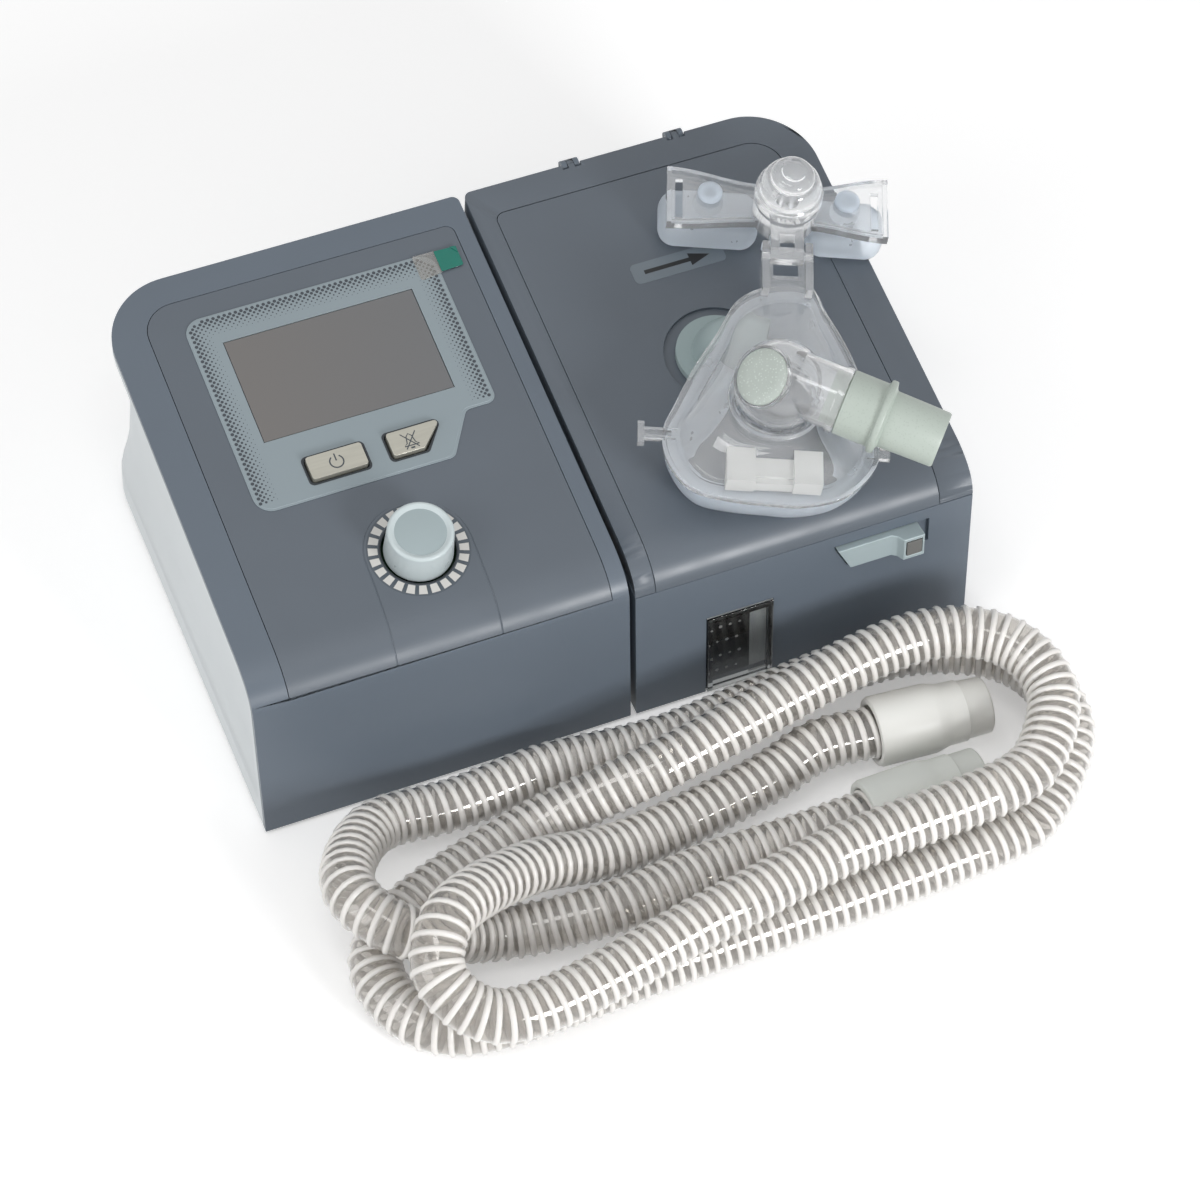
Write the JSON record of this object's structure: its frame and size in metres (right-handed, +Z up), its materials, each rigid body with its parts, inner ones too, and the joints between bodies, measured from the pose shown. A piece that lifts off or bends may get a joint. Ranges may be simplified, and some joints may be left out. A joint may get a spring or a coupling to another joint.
{
  "type": "cpap machine",
  "caption": "Flow generator with sloped display panel and knob, docked heated humidifier with hinged lid, clear nasal mask on top and loose ribbed hose.",
  "frame": {"origin": "on the surface it stands on, under the middle of the machine and its mask, without the loose hose", "axes": "+X from the flow generator to the humidifier, +Y to the rear, +Z up"},
  "size_m": [0.3199, 0.3342, 0.1469],
  "materials": {
    "dark_cover": "fine satin grain",
    "dark_front": "fine satin grain",
    "light_body": "smooth satin",
    "blue_grey": "smooth satin",
    "screen_glass": "switched off display behind glass",
    "green_film": "glossy peel-off film tab",
    "silver_key": "champagne silver lacquer",
    "pale_grip": "smooth satin",
    "circuit_board": "green board",
    "black_plastic": "matt",
    "white_plastic": "smooth satin",
    "steel": "turned",
    "aluminium": "pressed plate",
    "rubber": "matt",
    "foam": "open cell foam",
    "port_plastic": "smooth satin",
    "clear_plastic": "clear polycarbonate",
    "clear_silicone": "translucent silicone",
    "cuff_plastic": "grey-green satin",
    "hose_plastic": "pale coil on clear film"
  },
  "bodies": {
    "flow_generator": {"main_body": "light_body", "main_housing": "dark_front", "main_cover": "dark_cover", "display_bezel": "blue_grey", "display_glass": "screen_glass", "screen_film": "green_film", "control_board": "circuit_board", "encoder_body": "black_plastic", "main_board": "circuit_board", "power_inlet": "black_plastic", "motor": "steel", "blower_volute": "white_plastic", "blower_cover": "white_plastic", "intake_muffler": "foam", "outlet_duct": "white_plastic", "dock_seal": "rubber", "filter_pad": "foam", "main_foot_front_left": "rubber", "main_foot_front_right": "rubber", "main_foot_rear_left": "rubber", "main_foot_rear_right": "rubber", "hose": "hose_plastic", "hose_cuff_a": "white_plastic", "hose_cuff_b": "cuff_plastic"},
    "power_key": {"power_button": "silver_key"},
    "mute_key": {"mute_button": "silver_key"},
    "encoder": {"encoder_shaft": "steel"},
    "dial_knob": {"knob": "pale_grip"},
    "fan_wheel": {"impeller": "white_plastic"},
    "filter_door": {"filter_cover": "light_body"},
    "humidifier": {"humidifier_base": "dark_front", "level_window": "clear_plastic", "heater_plate": "aluminium", "water_tank": "clear_plastic", "tank_lid": "clear_plastic", "port_seal": "clear_silicone", "inlet_tube": "port_plastic", "hinge_pin_left": "steel", "hinge_pin_right": "steel", "humidifier_foot_front_left": "rubber", "humidifier_foot_front_right": "rubber", "humidifier_foot_rear_left": "rubber", "humidifier_foot_rear_right": "rubber"},
    "latch": {"latch_slider": "pale_grip", "latch_pad": "black_plastic"},
    "lid": {"humidifier_lid": "dark_cover", "lid_panel": "dark_cover", "lid_liner": "blue_grey", "outlet_port": "port_plastic"},
    "mask": {"mask_shell": "clear_plastic", "mask_cushion": "clear_silicone", "port_cap": "clear_silicone"},
    "mask_elbow": {"elbow": "clear_plastic", "vent_disc": "cuff_plastic"},
    "mask_swivel": {"swivel_cuff": "cuff_plastic"},
    "forehead_support": {"forehead_arm": "clear_plastic", "pad_left": "clear_silicone", "pad_right": "clear_silicone"},
    "forehead_turner": {"forehead_dial": "clear_plastic"}
  },
  "joints": [
    {"name": "power_press", "type": "slide", "parent": "flow_generator", "child": "power_key", "axis": [0, 0.1153, -0.9933], "range_m": [0, 0.001], "stiffness_N_per_m": 600, "springref_m": -0.0006},
    {"name": "mute_press", "type": "slide", "parent": "flow_generator", "child": "mute_key", "axis": [0, 0.1153, -0.9933], "range_m": [0, 0.001], "stiffness_N_per_m": 600, "springref_m": -0.0006},
    {"name": "knob_press", "type": "slide", "parent": "flow_generator", "child": "encoder", "axis": [0, 0.1153, -0.9933], "range_m": [0, 0.001], "stiffness_N_per_m": 1200, "springref_m": -0.0006},
    {"name": "knob_turn", "type": "hinge", "parent": "encoder", "child": "dial_knob", "pos_m": [-0.07431, -0.04562, 0.08282], "axis": [0, -0.1153, 0.9933], "continuous": true},
    {"name": "fan_spin", "type": "hinge", "parent": "flow_generator", "child": "fan_wheel", "pos_m": [-0.07671, 0.04423, 0.048], "axis": [0, 0, 1], "continuous": true},
    {"name": "filter_pull", "type": "slide", "parent": "flow_generator", "child": "filter_door", "axis": [0, 1, 0], "range_m": [0, 0.015]},
    {"name": "undock", "type": "slide", "parent": "flow_generator", "child": "humidifier", "axis": [1, 0, 0], "range_m": [0, 0.025]},
    {"name": "latch_slide", "type": "slide", "parent": "humidifier", "child": "latch", "axis": [1, 0, 0], "range_m": [0, 0.004], "stiffness_N_per_m": 300, "springref_m": -0.001},
    {"name": "lid_hinge", "type": "hinge", "parent": "humidifier", "child": "lid", "pos_m": [0.06529, 0.10043, 0.097], "axis": [-1, 0, 0], "range_deg": [0, 95]},
    {"name": "mask_lift", "type": "slide", "parent": "lid", "child": "mask", "axis": [0, -0.1153, 0.9933], "range_m": [0, 0.06]},
    {"name": "elbow_turn", "type": "hinge", "parent": "mask", "child": "mask_elbow", "pos_m": [0.06918, -0.05051, 0.12252], "axis": [0, -0.1153, 0.9933], "continuous": true},
    {"name": "cuff_turn", "type": "hinge", "parent": "mask_elbow", "child": "mask_swivel", "pos_m": [0.08751, -0.0686, 0.13112], "axis": [0.7333, -0.6705, -0.1129], "continuous": true},
    {"name": "forehead_tilt", "type": "hinge", "parent": "mask", "child": "forehead_support", "pos_m": [0.10008, 0.01011, 0.11999], "axis": [0.9232, -0.3817, -0.0443], "range_deg": [0, 20]},
    {"name": "forehead_dial_turn", "type": "hinge", "parent": "forehead_support", "child": "forehead_turner", "pos_m": [0.11131, 0.03508, 0.12742], "axis": [0, -0.1153, 0.9933], "range_deg": [0, 270]}
  ]
}
